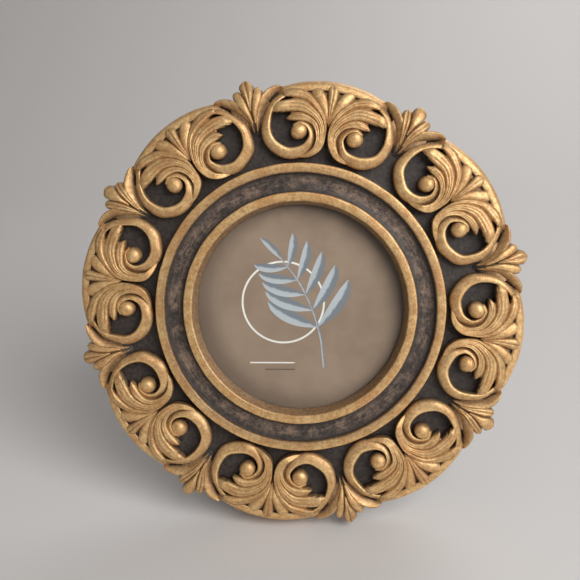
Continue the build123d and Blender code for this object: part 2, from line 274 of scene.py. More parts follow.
def turned(points, clockwise):
    """Points drawn with their own direction up, turned clockwise about the face's middle."""
    c, s = cos(radians(clockwise)), sin(radians(clockwise))
    x, y, z = np.moveaxis(points, -1, 0)
    return np.stack([x * c + y * s, y * c - x * s, z], -1)


def hand_cut(points, amount):
    """Small slow waves, so that no two carved copies are quite alike: in each of the three directions half
    the amount times two sines of x and y."""
    x, y = points[..., 0], points[..., 1]
    wave = np.stack([
        np.sin(0.83 * y + 1.7) + np.sin(0.61 * x + 0.47 * y),
        np.sin(0.79 * x + 0.4) + np.sin(0.53 * y - 0.66 * x + 2.0),
        np.sin(0.71 * x - 0.58 * y + 1.1) + np.sin(0.92 * y + 0.35 * x),
    ], -1)
    return points + 0.5 * amount * wave


class Patch:
    """A carved surface on a grid. Each point holds its gilding; its dark brown wash, which also carries
    painted shade in the hollows and on low sides and, below zero, a painted highlight where the gold is
    rubbed bright on the lips; and its place in the flow of the carver's strokes: far along them, close across
    them."""

    def __init__(self, points, gilt, wash_and_shade, flow):
        self.points = points
        self.gilt = gilt
        self.wash_and_shade = wash_and_shade
        self.flow = flow

    def at(self, clockwise, mirror=False):
        """A copy of the patch, mirrored if need be, at an angle round the frame, with its own strokes."""
        flip = np.array((-1.0 if mirror else 1.0, 1.0, 1.0))
        shift = np.array((0.0, 0.0, clockwise + 17 * mirror))
        points = hand_cut(turned(self.points * flip, clockwise), RELIEF_WAVE)
        return Patch(points, self.gilt, self.wash_and_shade, self.flow + shift)


def both(patch, angles):
    """A patch and its mirror image at each angle."""
    return [patch.at(angle, mirror) for angle in angles for mirror in (False, True)]


def walled(x, y, z, root, wash_and_shade, along, across):
    """Adds a border to a grid of tops that drops straight down to the root, where the brown wash and its
    painted shade are thinner, and works out the gilding: full on the heights and on what overhangs the rim,
    none on the field."""
    x, y, z, wash_and_shade, along, across = (np.pad(a + 0 * z, 1, mode="edge") for a in (x, y, z, wash_and_shade, along, across))
    for border in ((slice(None), [0, -1]), ([0, -1], slice(None))):
        z[border] = root
        wash_and_shade[border] *= 0.5
    gilt = np.maximum(smooth(FIELD + 0.2, FIELD + 2.0, z), smooth(*OVERHANG, np.hypot(x, y)))
    return Patch(np.stack([x, y, z], -1), gilt, wash_and_shade, np.stack([STROKE * along, across, 0 * z], -1))


def add_mesh(name, points, faces, material, attributes, flat=False):
    """A mesh object at the origin: merged doubles, faces outward, smooth unless flat is asked for."""
    mesh = bpy.data.meshes.new(name)
    mesh.from_pydata(to_row(points).tolist(), [], faces)
    for key, values in attributes.items():
        kind, field = ("FLOAT", "value") if values.ndim == 1 else ("FLOAT_VECTOR", "vector")
        mesh.attributes.new(key, kind, "POINT").data.foreach_set(field, values.astype(np.float32).ravel())
    work = bmesh.new()
    work.from_mesh(mesh)
    bmesh.ops.remove_doubles(work, verts=work.verts, dist=1e-7)
    bmesh.ops.recalc_face_normals(work, faces=work.faces)
    work.to_mesh(mesh)
    work.free()
    mesh.polygons.foreach_set("use_smooth", np.full(len(mesh.polygons), not flat))
    mesh.materials.append(material)
    piece = bpy.data.objects.new(name, mesh)
    bpy.context.scene.collection.objects.link(piece)
    return piece


def carving(name, patches, material, flat=False):
    """One piece from many patches: each grid is closed below by a single flat face on its border."""
    faces = []
    start = 0
    for patch in patches:
        rows, columns = patch.gilt.shape
        n = start + np.arange(rows * columns).reshape(rows, columns)
        quads = np.stack([n[:-1, :-1], n[1:, :-1], n[1:, 1:], n[:-1, 1:]], -1).reshape(-1, 4)
        border = np.concatenate([n[0], n[1:, -1], n[-1, -2::-1], n[-2:0:-1, 0]])
        faces += quads.tolist() + [border.tolist()]
        start += rows * columns
    points = np.concatenate([patch.points.reshape(-1, 3) for patch in patches])
    attributes = {
        "gilt": np.concatenate([patch.gilt.ravel() for patch in patches]),
        "wash_and_shade": np.concatenate([patch.wash_and_shade.ravel() for patch in patches]),
        "flow": np.concatenate([patch.flow.reshape(-1, 3) for patch in patches]),
    }
    return add_mesh(name, points, faces, material, attributes, flat)


def ring_faces(turns, corners):
    """Faces of a closed section carried round a circle: a quad between each two corners and two turns."""
    n = np.arange(turns * corners).reshape(turns, corners)
    quads = [n, np.roll(n, -1, 0), np.roll(n, (-1, -1), (0, 1)), np.roll(n, -1, 1)]
    return np.stack(quads, -1).reshape(-1, 4).tolist()


def petal(stations, root, crown, flutes=1, depth=0.25, square=2.2, tip_drop=0.5, slope=0.0, lip=0.0,
          steps=(34, 19)):
    """A petal along a smooth path of x, y, half width and top: across it a superellipse arch, lower
    on its right by the slope and cut by flutes with sharp valleys, along it a half-round end, and straight
    walls down to the root. Its wash holds painted shade on the walls, in the valleys and on the low right
    side, and the lip makes it a painted highlight along the left."""
    u = 1 - (1 - np.linspace(0, 1, steps[0])) ** 1.3
    x, y, width, top = curve(stations, u).T
    dx, dy = np.gradient(x, u), np.gradient(y, u)
    pace = np.hypot(dx, dy)
    blunt = width[-1] / pace[-1]
    end = np.clip((u - 1 + blunt) / blunt, 0, 1)
    width = np.maximum(width * np.sqrt(1 - end**2), 1e-4)[:, None]
    phi = np.linspace(-pi / 2, pi / 2, steps[1])
    v = np.sign(np.sin(phi)) * np.abs(np.sin(phi)) ** (2 / square)
    arch = np.cos(phi).clip(0) ** (2 / square)
    ridge = np.abs(np.sin(pi * flutes * (v + 1) / 2)) ** 0.6 if flutes > 1 else np.ones_like(v)
    z = top[:, None] - tip_drop * end[:, None] ** 2 - np.minimum(crown, 1.1 * width) * (1 - arch)
    z = z - np.minimum(depth, 0.45 * width) * (1 - ridge) * arch - slope * (1 - v) / 2
    # Painted shade on the walls, in the flute valleys and on the low side; the lip takes it below zero for a
    # painted highlight
    wash_and_shade = np.maximum.reduce([0.9 * (1 - arch), 0.9 * (1 - ridge) ** 2, 0.5 * slope * ((1 - v) / 2) ** 1.5])
    wash_and_shade = wash_and_shade - lip * np.exp(-(((v - 0.62) / 0.16) ** 2))
    length = np.cumsum(pace * np.gradient(u))[:, None]
    return walled(x[:, None] - (dy / pace)[:, None] * width * v,
                  y[:, None] + (dx / pace)[:, None] * width * v, z, root, wash_and_shade, length, width * v)


def button(x, y, radius, top, root, crown, steps=17):
    """A round button: a square grid drawn out to a disc, its height an elliptic dome over the disc, its wash
    painted shade that grows towards the dome's foot.
    """
    a, b = np.meshgrid(np.linspace(-1, 1, steps), np.linspace(-1, 1, steps), indexing="ij")
    px, py = a * np.sqrt(1 - b * b / 2), b * np.sqrt(1 - a * a / 2)
    rise = np.sqrt(np.clip(1 - px * px - py * py, 0, 1))
    px, py = radius * px, radius * py
    return walled(x + px, y + py, top - crown * (1 - rise), root, 0.7 * (1 - rise) ** 2, px, py)


def scroll():
    """The band of one C-scroll, an arch with steep shoulders, highest along its inner edge."""
    # The slope lays painted shade on the band's low outer side, the lip a painted highlight near its high
    # inner edge
    return petal(SCROLL, RELIEF_ROOT, crown=1.1, square=2.5, tip_drop=0.3, slope=0.7, lip=0.6, steps=(84, 25))


def leaf(steps=(64, 91)):
    """The acanthus leaf: lines from stalk to tips spread between the guides by a parabola, each as long as
    its lobe. Lobes swell between the notches, flutes between the valleys, and the edges roll off. Painted
    shade lies in the flutes, the notches, on the edges and at the end, and a painted highlight on the lip."""
    rows = 1 - (1 - np.linspace(0, 1, steps[0])) ** 1.35
    u, v = np.meshgrid(rows, np.linspace(0, 1, steps[1]), indexing="ij")
    s = u * np.interp(v, *zip(*LEAF_ENDS))
    inner, middle, outer = (curve(guide, s) for guide in (LEAF_INNER, LEAF_MIDDLE, LEAF_OUTER))
    share = v[..., None]
    line = (
        inner * (1 - share) * (1 - 2 * share)
        + middle * 4 * share * (1 - share)
        + outer * share * (2 * share - 1)
    )
    x, y = line[..., 0], line[..., 1]
    spread = smooth(0.18, 0.65, s) * (1 - 0.7 * smooth(0.84, 0.95, s))
    lobed = smooth(0.30, 0.85, s) * (1 - between(v, (0.0, *LEAF_NOTCHES, 1.0)) ** 0.35)
    flute = 1 - between(v, LEAF_VALLEYS) ** 0.7
    edge = np.sqrt(np.clip(1 - np.abs(2 * v - 1) ** 7, 0, 1))
    end = np.sqrt(np.clip(1 - np.clip((u - 0.88) / 0.12, 0, 1) ** 2, 0, 1))
    lip = np.exp(-(((v - 0.04) / 0.03) ** 2)) * smooth(0.25, 0.45, s)
    top = LEAF_TOP - 1.6 * smooth(0.24, 0, s) - 0.14 * np.clip(y - 55, 0, None) - 0.8 * smooth(14.4, 16.6, x)
    z = top - 1.0 * lobed - 0.16 * spread * flute + 0.3 * lip
    z = z - (0.4 + 0.5 * spread) * (1 - edge) - 0.8 * (1 - end)
    # Painted shade in the flutes, the sunk notches, the rolled edges and the end, less a painted highlight
    # along the lip
    laid = [0.6 * flute**1.5 * spread, 0.9 * lobed**1.5, 0.9 * (1 - edge), 0.7 * (1 - end)]
    return walled(x, y, z, RELIEF_ROOT, np.maximum.reduce(laid) - lip, 24 * s, 4 * v)


def bed():
    """Low ground under the leaf and the fan, brown all over with wash and painted shade, so that the cuts
    between them don't reach the field: straight lines between two guides, one under the band and one along
    the fan and rim, sinking outward."""
    u, v = np.meshgrid(np.linspace(0, 1, 40), np.linspace(0, 1, 14), indexing="ij")
    share = v[..., None]
    line = curve(BED_INNER, u) * (1 - share) + curve(BED_OUTER, u) * share
    tops = BED_TOPS[0] * (1 - v) + BED_TOPS[1] * v
    # All brown wash and painted shade
    return walled(line[..., 0], line[..., 1], tops, RELIEF_ROOT, 1 + 0 * u, 24 * u, 6 * v)


def fan():
    """The middle and the right one of three petals from one narrow root; the middle one is split."""
    blade = petal(FAN_BLADE, RELIEF_ROOT, crown=1.0, flutes=2, depth=0.2)
    return blade, petal(FAN_SIDE, RELIEF_ROOT, crown=1.0)


def finial(split):
    """The spray between two bulges: a bulb in the middle over a low hollow, brown all over with wash and
    painted shade, and a petal and a broad bract for each side, the bract with painted shade on its low
    side. The bulb is split in one kind, and the petals in the other."""
    bulb = petal(FINIAL_BULB, FINIAL_ROOT, crown=1.0, flutes=2 if split else 1, depth=0.6)
    hollow = petal(FINIAL_HOLLOW, FINIAL_ROOT, crown=0)
    # The hollow is all brown wash and painted shade
    hollow.wash_and_shade[:] = 1
    side = petal(FINIAL_SIDE, FINIAL_ROOT, crown=0.9, flutes=1 if split else 2, depth=0.45)
    bract = petal(FINIAL_BRACT, FINIAL_ROOT, crown=1.0, slope=2.0)
    return (bulb, hollow), (side, bract)


def off_fan(clockwise):
    """Degrees from the nearest fan's middle, clockwise past it above zero."""
    return (clockwise - FAN_DIR + STEP / 2) % STEP - STEP / 2


def bulge_edge(clockwise):
    """Radius of the plate's edge: eight arcs of one radius, each about a centre out along its own fan."""
    a = np.radians(off_fan(clockwise))
    centre = BULGE_R - BULGE_ARC_R
    return centre * np.cos(a) + np.sqrt(BULGE_ARC_R**2 - (centre * np.sin(a)) ** 2)


def eased(corners, arc=5):
    """A closed outline with each corner rounded: a quadratic curve between points a set length off it."""
    p = np.array([corner[:2] for corner in corners], float)
    ease = np.array([corner[2] for corner in corners])[:, None]
    before, after = np.roll(p, 1, 0) - p, np.roll(p, -1, 0) - p
    a = p + ease * before / np.linalg.norm(before, axis=1, keepdims=True)
    b = p + ease * after / np.linalg.norm(after, axis=1, keepdims=True)
    t = np.linspace(0, 1, arc)[None, :, None]
    return ((1 - t) ** 2 * a[:, None] + 2 * t * (1 - t) * p[:, None] + t * t * b[:, None]).reshape(-1, 2)


def casting_body(material, turns=720):
    """Plate, rim, rings and rabbet: one closed outline of radius and height carried round the frame,
    its outer part following the scalloped edge, its raised rim sinking away beside the finials. Beads, rim
    and splay are gilded, the cove is rubbed brown, and a brown wash with painted shade lies in the corners,
    on the splay, on the rim's inner edge and where the rim sinks, and the outer wall darkens towards the
    back."""
    s_in, s_out = SIGHT_BEAD
    o_in, o_out = OUTER_BEAD
    rim = BULGE_R
    r, h = eased(CASTING_SECTION).T
    angle = np.arange(turns) * 360 / turns
    radius = r[None, :] + smooth(*FOLLOW, r)[None, :] * (bulge_edge(angle)[:, None] - BULGE_R)
    theta = np.radians(angle)[:, None]
    sunk = smooth(*RIM_SUNK, np.abs(off_fan(angle))[:, None]) * (r > rim - 4) * (h > FIELD - 0.5)
    height = h - sunk * np.clip(h - FIELD, 0, None)
    points = np.stack([radius * np.sin(theta), radius * np.cos(theta), height], -1)
    on_bead = smooth(COVE_FLOOR + 0.3, COVE_FLOOR + 1.0, h) * (r < o_out + 1)
    on_rim = smooth(rim - 3.4, rim - 2.8, r) * smooth(0.3, 2.0, h)
    on_splay = 0.9 * (r < s_in) * smooth(SEAT, SEAT + 0.6, h)
    gilt = np.maximum.reduce([on_bead, on_rim, on_splay])
    rub = smooth(s_out + 0.6, s_out + 1.6, r) * smooth(o_in - 0.5, o_in - 1.5, r) * (h > SEAT)
    # Brown wash with painted shade at the outer bead's foot, on the splay and the inner bead's inner side,
    # and on the rim's inner edge; the outer wall darkens towards the back
    wash_and_shade = (h > SEAT) * (smooth(0.7, 0, np.abs(r - o_in)) + 0.8 * smooth(s_in + 0.2, s_in - 0.2, r))
    wash_and_shade = wash_and_shade + 0.12 * (h > SEAT) * smooth(s_in + 1.0, s_in + 0.2, r)
    wash_and_shade = wash_and_shade + smooth(rim - 2.7, rim - 3.2, r) * on_rim + smooth(5.5, 1.0, h) * (r > rim - 1.5)
    around = STROKE * STROKE_RING_R
    flow = np.stack([around * np.sin(theta) + 0 * r, around * np.cos(theta) + 0 * r, r + h + 0 * theta], -1)
    attributes = {
        "gilt": np.maximum(gilt, sunk).ravel(),
        "wash_and_shade": np.clip(wash_and_shade + sunk, 0, 1).ravel(),
        "rub": np.tile(rub, turns),
        "worn": np.tile(on_bead, turns),
        "flow": flow.reshape(-1, 3),
    }
    points = hand_cut(points, PLATE_WAVE).reshape(-1, 3)
    return add_mesh("casting_body", points, ring_faces(turns, len(r)), material, attributes)


def slotted_head():
    """A slotted screw head seen from its own top: a square grid drawn out to a disc, an elliptic dome with a
    flat-bottomed groove across it."""
    head = button(0, 0, SCREW_HEAD_R, SCREW_TOP, SCREW_SEAT, SCREW_CROWN, steps=49)
    cut = smooth(SLOT / 2 + SLOT_EASE, SLOT / 2 - SLOT_EASE, np.abs(head.points[..., 0]))
    head.points[..., 2] = np.minimum(head.points[..., 2], SCREW_TOP - SLOT_DEPTH * cut)
    return head


def rivet(front, back):
    """A domed head that sits on the back face, and a round shank from the front face into the head."""
    head = button(0, 0, RIVET_HEAD_R, back + RIVET_HEAD, back, RIVET_CROWN, steps=25)
    return head, button(0, 0, RIVET_R, back + SHANK_LAP, front, 0)


def behind(patch, x, y, turn, hinge=None):
    """A patch's copy on the back of the frame: turned, set at x and y, and facing backwards. With a hinge it
    is drawn on the shut leg and swung out with it."""
    points = turned(patch.points, turn) + np.array((x, y, 0.0))
    points[..., 2] *= -1
    if hinge:
        a = radians(LEG_OPEN)
        up, out = points[..., 1] - hinge[0], points[..., 2] - hinge[1]
        points[..., 1] = hinge[0] + up * cos(a) - out * sin(a)
        points[..., 2] = hinge[1] + out * cos(a) + up * sin(a)
    return Patch(points, patch.gilt, patch.wash_and_shade, patch.flow)


def srgb(red, green, blue):
    """A linear colour from the 0 to 255 values seen on a screen."""
    c = np.array((red, green, blue)) / 255
    linear = np.where(c <= 0.04045, c / 12.92, ((c + 0.055) / 1.055) ** 2.4)
    return (*linear.tolist(), 1.0)


# Gold paint, its streaks, grain, painted highlight, brown wash with painted shade, and dark ground
GOLD_DEEP, GOLD_PALE = srgb(200, 155, 101), srgb(234, 192, 134)
GOLD_THICK, GOLD_THIN = srgb(202, 146, 92), srgb(246, 212, 154)
STREAK_LIGHT, STREAK_DARK = srgb(255, 229, 170), srgb(154, 112, 64)
GRAIN_LIGHT, GRAIN_DARK = srgb(255, 226, 170), srgb(142, 102, 64)
RUB_AND_PAINTED_HIGHLIGHT = srgb(255, 228, 168)
BROWN_WASH_AND_SHADE = srgb(116, 89, 69)
GROUND_DARK, GROUND_WORN = srgb(54, 48, 45), srgb(76, 68, 63)
COVE_RUB = srgb(150, 126, 108)
# Card, the painted shade towards its edge, and inks
CARD_LIGHT, CARD_DARK, CARD_EDGE_SHADE = srgb(139, 118, 101), srgb(127, 106, 90), srgb(92, 76, 64)
BLUE_LIGHT, BLUE_DARK = srgb(164, 168, 172), srgb(106, 111, 118)
WHITE_LIGHT, WHITE_DARK = srgb(220, 216, 210), srgb(208, 204, 198)
BROWN_LIGHT, BROWN_DARK = srgb(74, 60, 52), srgb(66, 54, 46)
# Back and studio
FLOCK_LIGHT, FLOCK_DARK = srgb(56, 55, 54), srgb(18, 18, 19)
NICKEL_LIGHT, NICKEL_DARK = srgb(214, 210, 203), srgb(188, 184, 176)
BOARD_LIGHT, BOARD_DARK = srgb(176, 154, 126), srgb(150, 128, 102)
BACKDROP_GREY, STUDIO_GREY = srgb(213, 210, 208), srgb(205, 203, 201)


class Finish:
    """A material with one Principled shader, and short calls to add the nodes that feed it."""

    def __init__(self, name, **constants):
        self.material = bpy.data.materials.new(name)
        self.material.use_nodes = True
        self.tree = self.material.node_tree
        self.shader = self.tree.nodes["Principled BSDF"]
        for key, value in constants.items():
            self.shader.inputs[key.replace("_", " ")].default_value = value
        self.place = self.node("ShaderNodeTexCoord").outputs["Object"]

    def node(self, kind, settings=(), **inputs):
        """A new node with its settings, its inputs linked or set."""
        made = self.tree.nodes.new(kind)
        for key, value in dict(settings).items():
            setattr(made, key, value)
        for key, value in inputs.items():
            self.put(made.inputs[key.replace("_", " ")], value)
        return made

    def put(self, socket, value):
        """Links an output to a socket, or sets a constant on it."""
        if isinstance(value, bpy.types.NodeSocket):
            self.tree.links.new(value, socket)
        else:
            socket.default_value = value

    def set(self, key, value):
        """Feeds one of the shader's own sockets."""
        self.put(self.shader.inputs[key], value)

    def noise(self, grain_mm, detail=4.0, roughness=0.6, stretch=(1, 1, 1)):
        """Noise with grains of a size, drawn in where a stretch is above 1."""
        place = self.node("ShaderNodeMapping", Vector=self.place, Scale=stretch).outputs[0]
        made = self.node("ShaderNodeTexNoise", Vector=place, Scale=1 / (grain_mm * MM),
                         Detail=detail, Roughness=roughness)
        return made.outputs["Fac"]

    def attribute(self, name):
        """A value that the mesh holds at each point."""
        return self.node("ShaderNodeAttribute", {"attribute_name": name}).outputs["Fac"]

    def flow(self):
        """The place in the flow of strokes that the mesh holds at each point."""
        return self.node("ShaderNodeAttribute", {"attribute_name": "flow"}).outputs["Vector"]

    def strokes(self, width_mm, detail=3.0):
        """Noise drawn out along the carver's strokes."""
        made = self.node("ShaderNodeTexNoise", Vector=self.flow(), Scale=1 / width_mm, Detail=detail)
        return made.outputs["Fac"]

    def math(self, operation, a, b=0.0):
        """Two values put together."""
        made = self.node("ShaderNodeMath", {"operation": operation})
        self.put(made.inputs[0], a)
        self.put(made.inputs[1], b)
        return made.outputs[0]

    def blend(self, a, share_a, b, share_b):
        """Two values added in shares."""
        return self.math("ADD", self.math("MULTIPLY", a, share_a), self.math("MULTIPLY", b, share_b))

    def ramp(self, value, low, high, to_low=0.0, to_high=1.0):
        """A smooth step of the value from low to high."""
        made = self.node("ShaderNodeMapRange", {"interpolation_type": "SMOOTHSTEP"}, Value=value,
                         From_Min=low, From_Max=high, To_Min=to_low, To_Max=to_high)
        return made.outputs[0]

    def mix(self, share, a, b):
        """Colour a, and b by its share."""
        made = self.node("ShaderNodeMix", {"data_type": "RGBA"})
        for socket, value in zip((made.inputs[0], made.inputs[6], made.inputs[7]), (share, a, b)):
            self.put(socket, value)
        return made.outputs[2]

    def bump(self, height, depth_mm):
        """Paint or paper grain of a depth, too fine to model."""
        made = self.node("ShaderNodeBump", Height=height, Distance=depth_mm * MM, Strength=1.0)
        self.set("Normal", made.outputs[0])


def antique_gold():
    """Gold paint over a dark ground: streaked along the carving, blotched where it is thick, worn through
    where it is thin and in specks on the beads, with a brown wash and painted shade left in the valleys, on
    the walls and on low sides, a painted highlight along the lips where the gold is rubbed bright, and a
    brown rub brushed round the cove."""
    f = Finish("antique_gold", Specular_IOR_Level=0.3)
    broad, mottle, grain = f.noise(4.5), f.noise(1.1, 5.0, 0.65), f.noise(0.35, 3.0)
    streak = f.strokes(0.45)
    speckle = f.blend(mottle, 0.5, grain, 0.5)
    cover = f.ramp(f.math("ADD", f.attribute("gilt"), f.math("SUBTRACT", speckle, 0.55)), 0.15, 0.65)
    gold = f.mix(f.ramp(mottle, 0.35, 0.65), GOLD_DEEP, GOLD_PALE)
    gold = f.mix(f.ramp(broad, 0.48, 0.64, 0.0, 0.6), gold, GOLD_THICK)
    gold = f.mix(f.ramp(broad, 0.46, 0.30, 0.0, 0.5), gold, GOLD_THIN)
    gold = f.mix(f.ramp(streak, 0.54, 0.74, 0.0, 0.25), gold, STREAK_LIGHT)
    gold = f.mix(f.ramp(streak, 0.44, 0.28, 0.0, 0.25), gold, STREAK_DARK)
    gold = f.mix(f.ramp(grain, 0.48, 0.30, 0.0, 0.45), gold, GRAIN_DARK)
    gold = f.mix(f.ramp(grain, 0.54, 0.70, 0.0, 0.45), gold, GRAIN_LIGHT)
    wash_and_shade = f.attribute("wash_and_shade")
    # A painted highlight where the wash runs below zero, along the lips, standing also for gold rubbed bright
    gold = f.mix(f.ramp(wash_and_shade, 0.0, -1.0, 0.0, 0.8), gold, RUB_AND_PAINTED_HIGHLIGHT)
    # Brown wash and painted shade where the wash is above zero
    laid = f.math("POWER", f.math("MAXIMUM", wash_and_shade, 0.0), 0.7)
    stain_and_shade = f.math("MULTIPLY", laid, f.ramp(speckle, 0.30, 0.70, 1.0, 0.65))
    gold = f.mix(f.math("MULTIPLY", stain_and_shade, 0.95), gold, BROWN_WASH_AND_SHADE)
    worn = f.math("MULTIPLY", f.attribute("worn"), f.ramp(f.noise(0.55, 2.0), 0.60, 0.70, 0.0, 0.6))
    gold = f.mix(worn, gold, BROWN_WASH_AND_SHADE)
    ground = f.mix(f.ramp(mottle, 0.35, 0.70), GROUND_DARK, GROUND_WORN)
    brushed = f.blend(f.blend(streak, 0.35, broad, 0.65), 0.6, speckle, 0.4)
    rub = f.math("MULTIPLY", f.attribute("rub"), f.ramp(brushed, 0.43, 0.66))
    ground = f.mix(rub, ground, COVE_RUB)
    f.set("Base Color", f.mix(cover, ground, gold))
    f.set("Metallic", f.math("MULTIPLY", cover, 0.45))
    f.set("Roughness", f.ramp(speckle, 0.35, 0.75, 0.48, 0.36))
    tooth = f.math("ADD", mottle, f.math("MULTIPLY", grain, 0.6))
    f.bump(f.math("ADD", f.math("MULTIPLY", streak, 0.8), tooth), 0.06)
    return f.material


def clear_glass():
    """A clear pane that lets lamps through to the print."""
    f = Finish("clear_glass", Base_Color=(0.97, 0.985, 0.98, 1), Roughness=0.0, IOR=1.45,
               Transmission_Weight=1.0)
    path = f.node("ShaderNodeLightPath")
    through = f.node("ShaderNodeBsdfTransparent", Color=(0.95, 0.97, 0.96, 1))
    mixed = f.node("ShaderNodeMixShader")
    f.put(mixed.inputs[0], path.outputs["Is Shadow Ray"])
    f.put(mixed.inputs[1], f.shader.outputs[0])
    f.put(mixed.inputs[2], through.outputs[0])
    f.put(f.tree.nodes["Material Output"].inputs["Surface"], mixed.outputs[0])
    return f.material


def card_stock():
    """Taupe printed card with a faint paper tooth, with painted shade darkening it towards its edge, most at
    the lower left.
    """
    f = Finish("card_stock", Roughness=0.7, Specular_IOR_Level=0.15)
    middle = (CENTRE + MM * (3.0 * RIGHT + 1.5 * UP + CARD_FRONT * OUT)).tolist()
    reach = f.node("ShaderNodeVectorMath", {"operation": "DISTANCE"})
    f.put(reach.inputs[0], f.place)
    f.put(reach.inputs[1], middle)
    paper = f.mix(f.ramp(f.noise(14.0, 3.0), 0.3, 0.7), CARD_DARK, CARD_LIGHT)
    # Painted shade towards the card's edge, centred up and right of the middle so that it is deepest at the
    # lower left
    edge_shade = f.ramp(reach.outputs["Value"], 25 * MM, 33 * MM, 0.0, 0.8)
    f.set("Base Color", f.mix(edge_shade, paper, CARD_EDGE_SHADE))
    f.bump(f.noise(0.25), 0.002)
    return f.material


def plain_ink(name, light, dark, blend=0.3):
    """Ink of two tones, one on each side of a leaf's middle, that run a little into each other."""
    f = Finish(name, Roughness=0.6, Specular_IOR_Level=0.3)
    across = f.node("ShaderNodeSeparateXYZ", Vector=f.flow()).outputs["Y"]
    tone = f.math("ADD", across, f.math("SUBTRACT", f.noise(1.6), 0.5))
    f.set("Base Color", f.mix(f.ramp(tone, -blend, blend), dark, light))
    return f.material


def flocked():
    """Black flocked paper: a short nap with a soft sheen."""
    f = Finish("black_flock", Roughness=0.95, Specular_IOR_Level=0.15, Sheen_Weight=0.35, Sheen_Roughness=0.5)
    nap = f.noise(0.45, 6.0, 0.75)
    f.set("Base Color", f.mix(f.ramp(nap, 0.35, 0.65), FLOCK_DARK, FLOCK_LIGHT))
    f.bump(nap, 0.15)
    return f.material


def nickel():
    """Stamped nickel-plated steel with fine scratches."""
    f = Finish("nickel_plate", Metallic=1.0)
    scratch = f.noise(0.25, 4.0, 0.6, (1, 1, 14))
    f.set("Base Color", f.mix(f.ramp(f.noise(3.0), 0.3, 0.7), NICKEL_DARK, NICKEL_LIGHT))
    f.set("Roughness", f.ramp(scratch, 0.3, 0.7, 0.24, 0.42))
    f.bump(scratch, 0.01)
    return f.material


def grey_board():
    """Plain cardboard."""
    f = Finish("grey_board", Roughness=0.9, Specular_IOR_Level=0.2)
    f.set("Base Color", f.mix(f.ramp(f.noise(0.6), 0.3, 0.7), BOARD_DARK, BOARD_LIGHT))
    return f.material


def gilded_front(gold):
    """The casting with its relief: scrolls, leaves, ground and fans on the bulges, finials between them."""
    body = casting_body(gold)
    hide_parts("frame_casting")
    fan_dirs = [FAN_DIR + i * STEP for i in range(BULGES)]
    finial_dirs = [FAN_DIR + (i + 0.5) * STEP for i in range(BULGES)]
    blade, side_petal = fan()
    finials = []
    for kind in range(2):
        middles, sides = finial(split=kind == 1)
        places = finial_dirs[kind::2]
        finials += [patch.at(angle) for patch in middles for angle in places]
        finials += [copy for patch in sides for copy in both(patch, places)]
    carved = [
        body,
        carving("scroll_bands", both(scroll(), fan_dirs), gold),
        carving("scroll_eyes", both(button(*EYE, RELIEF_ROOT, EYE_CROWN), fan_dirs), gold),
        carving("acanthus_leaves", both(leaf(), fan_dirs), gold),
        carving("relief_ground", both(bed(), fan_dirs), gold),
        carving("fans", [blade.at(a) for a in fan_dirs] + both(side_petal, fan_dirs), gold),
        carving("finials", finials, gold),
    ]
    for piece in carved:
        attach(piece, "frame")


def ring_line(x, y, radius, half, top, root, turns=96):
    """A flat printed ring: four corners of a line's section carried round a circle."""
    section = np.array(((-half, root), (half, root), (half, top), (-half, top)))
    theta = np.arange(turns)[:, None] * 2 * pi / turns
    reach = radius + section[:, 0]
    points = np.stack([x + reach * np.sin(theta), y + reach * np.cos(theta), section[:, 1] + 0 * theta], -1)
    return points.reshape(-1, 3), ring_faces(turns, len(section))


def sprig(flat):
    """A stem, five pairs of leaflets that shrink towards its end and lie over each other, and a last one."""
    stem = np.array(SPRIG_STEM)
    sprays = [petal([(*p, 0.40 - 0.05 * i, INK_TOP) for i, p in enumerate(stem)], steps=(40, 7), **flat)]
    for i, share in enumerate(np.linspace(0.34, 0.90, 5)):
        foot, ahead = curve(stem, np.array((share, share + 0.02)))
        lead = (ahead - foot) / np.linalg.norm(ahead - foot)
        reach, width = 12.0 - 1.2 * i, 1.9 - 0.16 * i
        for side in (-1, 1):
            out = side * np.array((lead[1], -lead[0]))
            top = INK_TOP + 0.002 * (2 * i + side + 2)
            path = [(*(foot + reach * (a * lead + b * out)), width * w, top) for a, b, w in LEAFLET]
            sprays.append(petal(path, steps=(24, 9), **flat))
    tip = [(*station, INK_TOP + 0.03) for station in SPRIG_TIP]
    return sprays + [petal(tip, steps=(24, 9), **flat)]


def card_art():
    """A plain printed motif: a sprig of paired leaves that crosses a thin ring, with two short rules
    beside it."""
    flat = {"root": INK_ROOT, "crown": 0, "tip_drop": 0}
    sprays = sprig(flat)
    blue = plain_ink("blue_grey_ink", BLUE_LIGHT, BLUE_DARK)
    white = plain_ink("white_ink", WHITE_LIGHT, WHITE_DARK)
    brown = plain_ink("brown_ink", BROWN_LIGHT, BROWN_DARK)
    points, quads = ring_line(*PRINT_RING, INK_TOP - 0.005, INK_ROOT)
    rules = [
        petal([(x, y, half, INK_TOP) for x in (x0, (x0 + x1) / 2, x1)], steps=(10, 5), **flat)
        for x0, x1, y, half in PRINT_RULES
    ]
    pieces = (
        carving("card_sprig", sprays, blue, flat=True),
        add_mesh("card_ring", points, quads, white, {}, flat=True),
        carving("card_rule", rules[:1], white, flat=True),
        carving("card_rule_thin", rules[1:], brown, flat=True),
    )
    for piece in pieces:
        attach(piece, "frame")


def pane():
    """The glass: a flat disc, just clear of the card behind it."""
    disc = button(0, 0, PANE_R, SEAT, CARD_FRONT + PANE_GAP, 0, steps=41)
    made = carving("clear_pane", [disc], clear_glass(), flat=True)
    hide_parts("glass_pane")
    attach(made, "frame")


